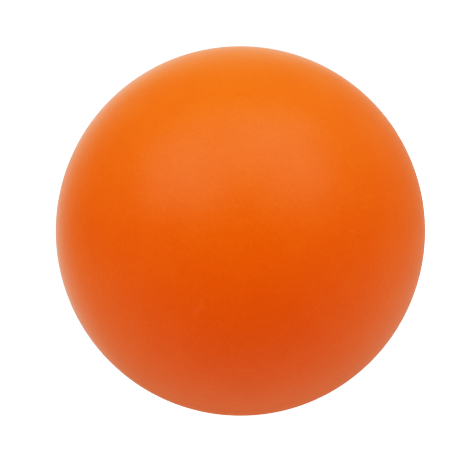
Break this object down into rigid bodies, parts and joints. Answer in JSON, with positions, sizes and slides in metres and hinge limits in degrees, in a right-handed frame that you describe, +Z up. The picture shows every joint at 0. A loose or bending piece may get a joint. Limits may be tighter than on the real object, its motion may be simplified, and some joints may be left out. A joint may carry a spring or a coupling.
{
  "type": "golf ball",
  "caption": "Smooth undimpled golf ball with a satin orange moulded cover in two cups, a mantle in two cups and a solid rubber core.",
  "frame": {"origin": "centre of the ball", "axes": "+Z up; the cover's two cups have their poles on the Y axis, the front one towards -Y, and part on the XZ plane; the mantle's two cups have their poles on the Z axis and part on the XY plane"},
  "size_m": [0.0426, 0.0428, 0.0426],
  "materials": {
    "cover_orange": "satin coat over pigmented urethane",
    "mantle_ivory": "cloudy ionomer, as moulded",
    "core_rubber": "ground polybutadiene rubber"
  },
  "bodies": {
    "root": {"cover_front_cup": "cover_orange", "cover_rear_cup": "cover_orange", "mantle_upper_cup": "mantle_ivory", "mantle_lower_cup": "mantle_ivory", "core": "core_rubber"}
  },
  "joints": []
}
